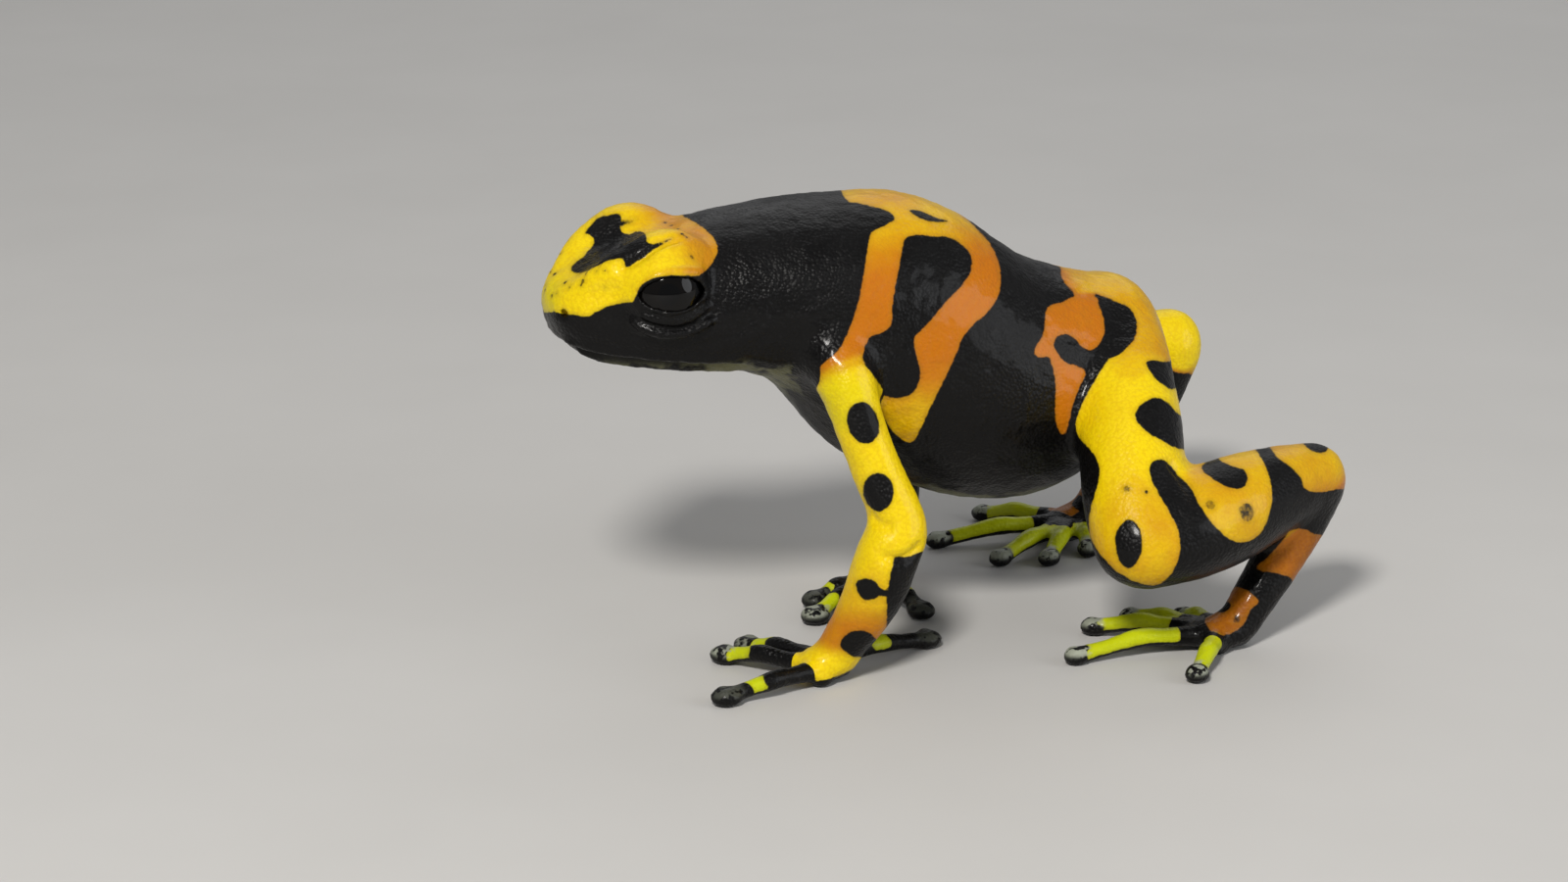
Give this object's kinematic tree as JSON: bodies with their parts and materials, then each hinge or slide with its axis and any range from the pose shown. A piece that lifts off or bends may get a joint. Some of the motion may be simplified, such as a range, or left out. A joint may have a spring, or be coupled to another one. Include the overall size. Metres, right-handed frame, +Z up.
{
  "type": "poison dart frog model",
  "caption": "Life-size yellow-banded poison dart frog standing on straight fore legs with folded hind legs, glossy black skin with yellow and orange bands.",
  "frame": {"origin": "on the floor under the centre of the bounding box", "axes": "+Z up from the floor; the frog faces -X; +Y towards its right side; its left side faces -Y"},
  "size_m": [0.0434, 0.0314, 0.0249],
  "materials": {
    "skin_black": "moist satin black with fine grain",
    "skin_yellow": "moist satin yellow with black spots",
    "skin_orange": "moist satin orange with black spots",
    "eye": "wet polished near-black"
  },
  "bodies": {
    "root": {"head": "skin_yellow", "lower_jaw": "skin_black", "eye_left": "eye", "eye_right": "eye", "torso": "skin_black", "upper_arm_left": "skin_yellow", "forearm_left": "skin_yellow", "hand_left": "skin_black", "upper_arm_right": "skin_yellow", "forearm_right": "skin_yellow", "hand_right": "skin_black", "thigh_left": "skin_yellow", "shank_left": "skin_black", "tarsus_left": "skin_orange", "foot_left": "skin_yellow", "thigh_right": "skin_yellow", "shank_right": "skin_black", "tarsus_right": "skin_orange", "foot_right": "skin_yellow"}
  },
  "joints": []
}
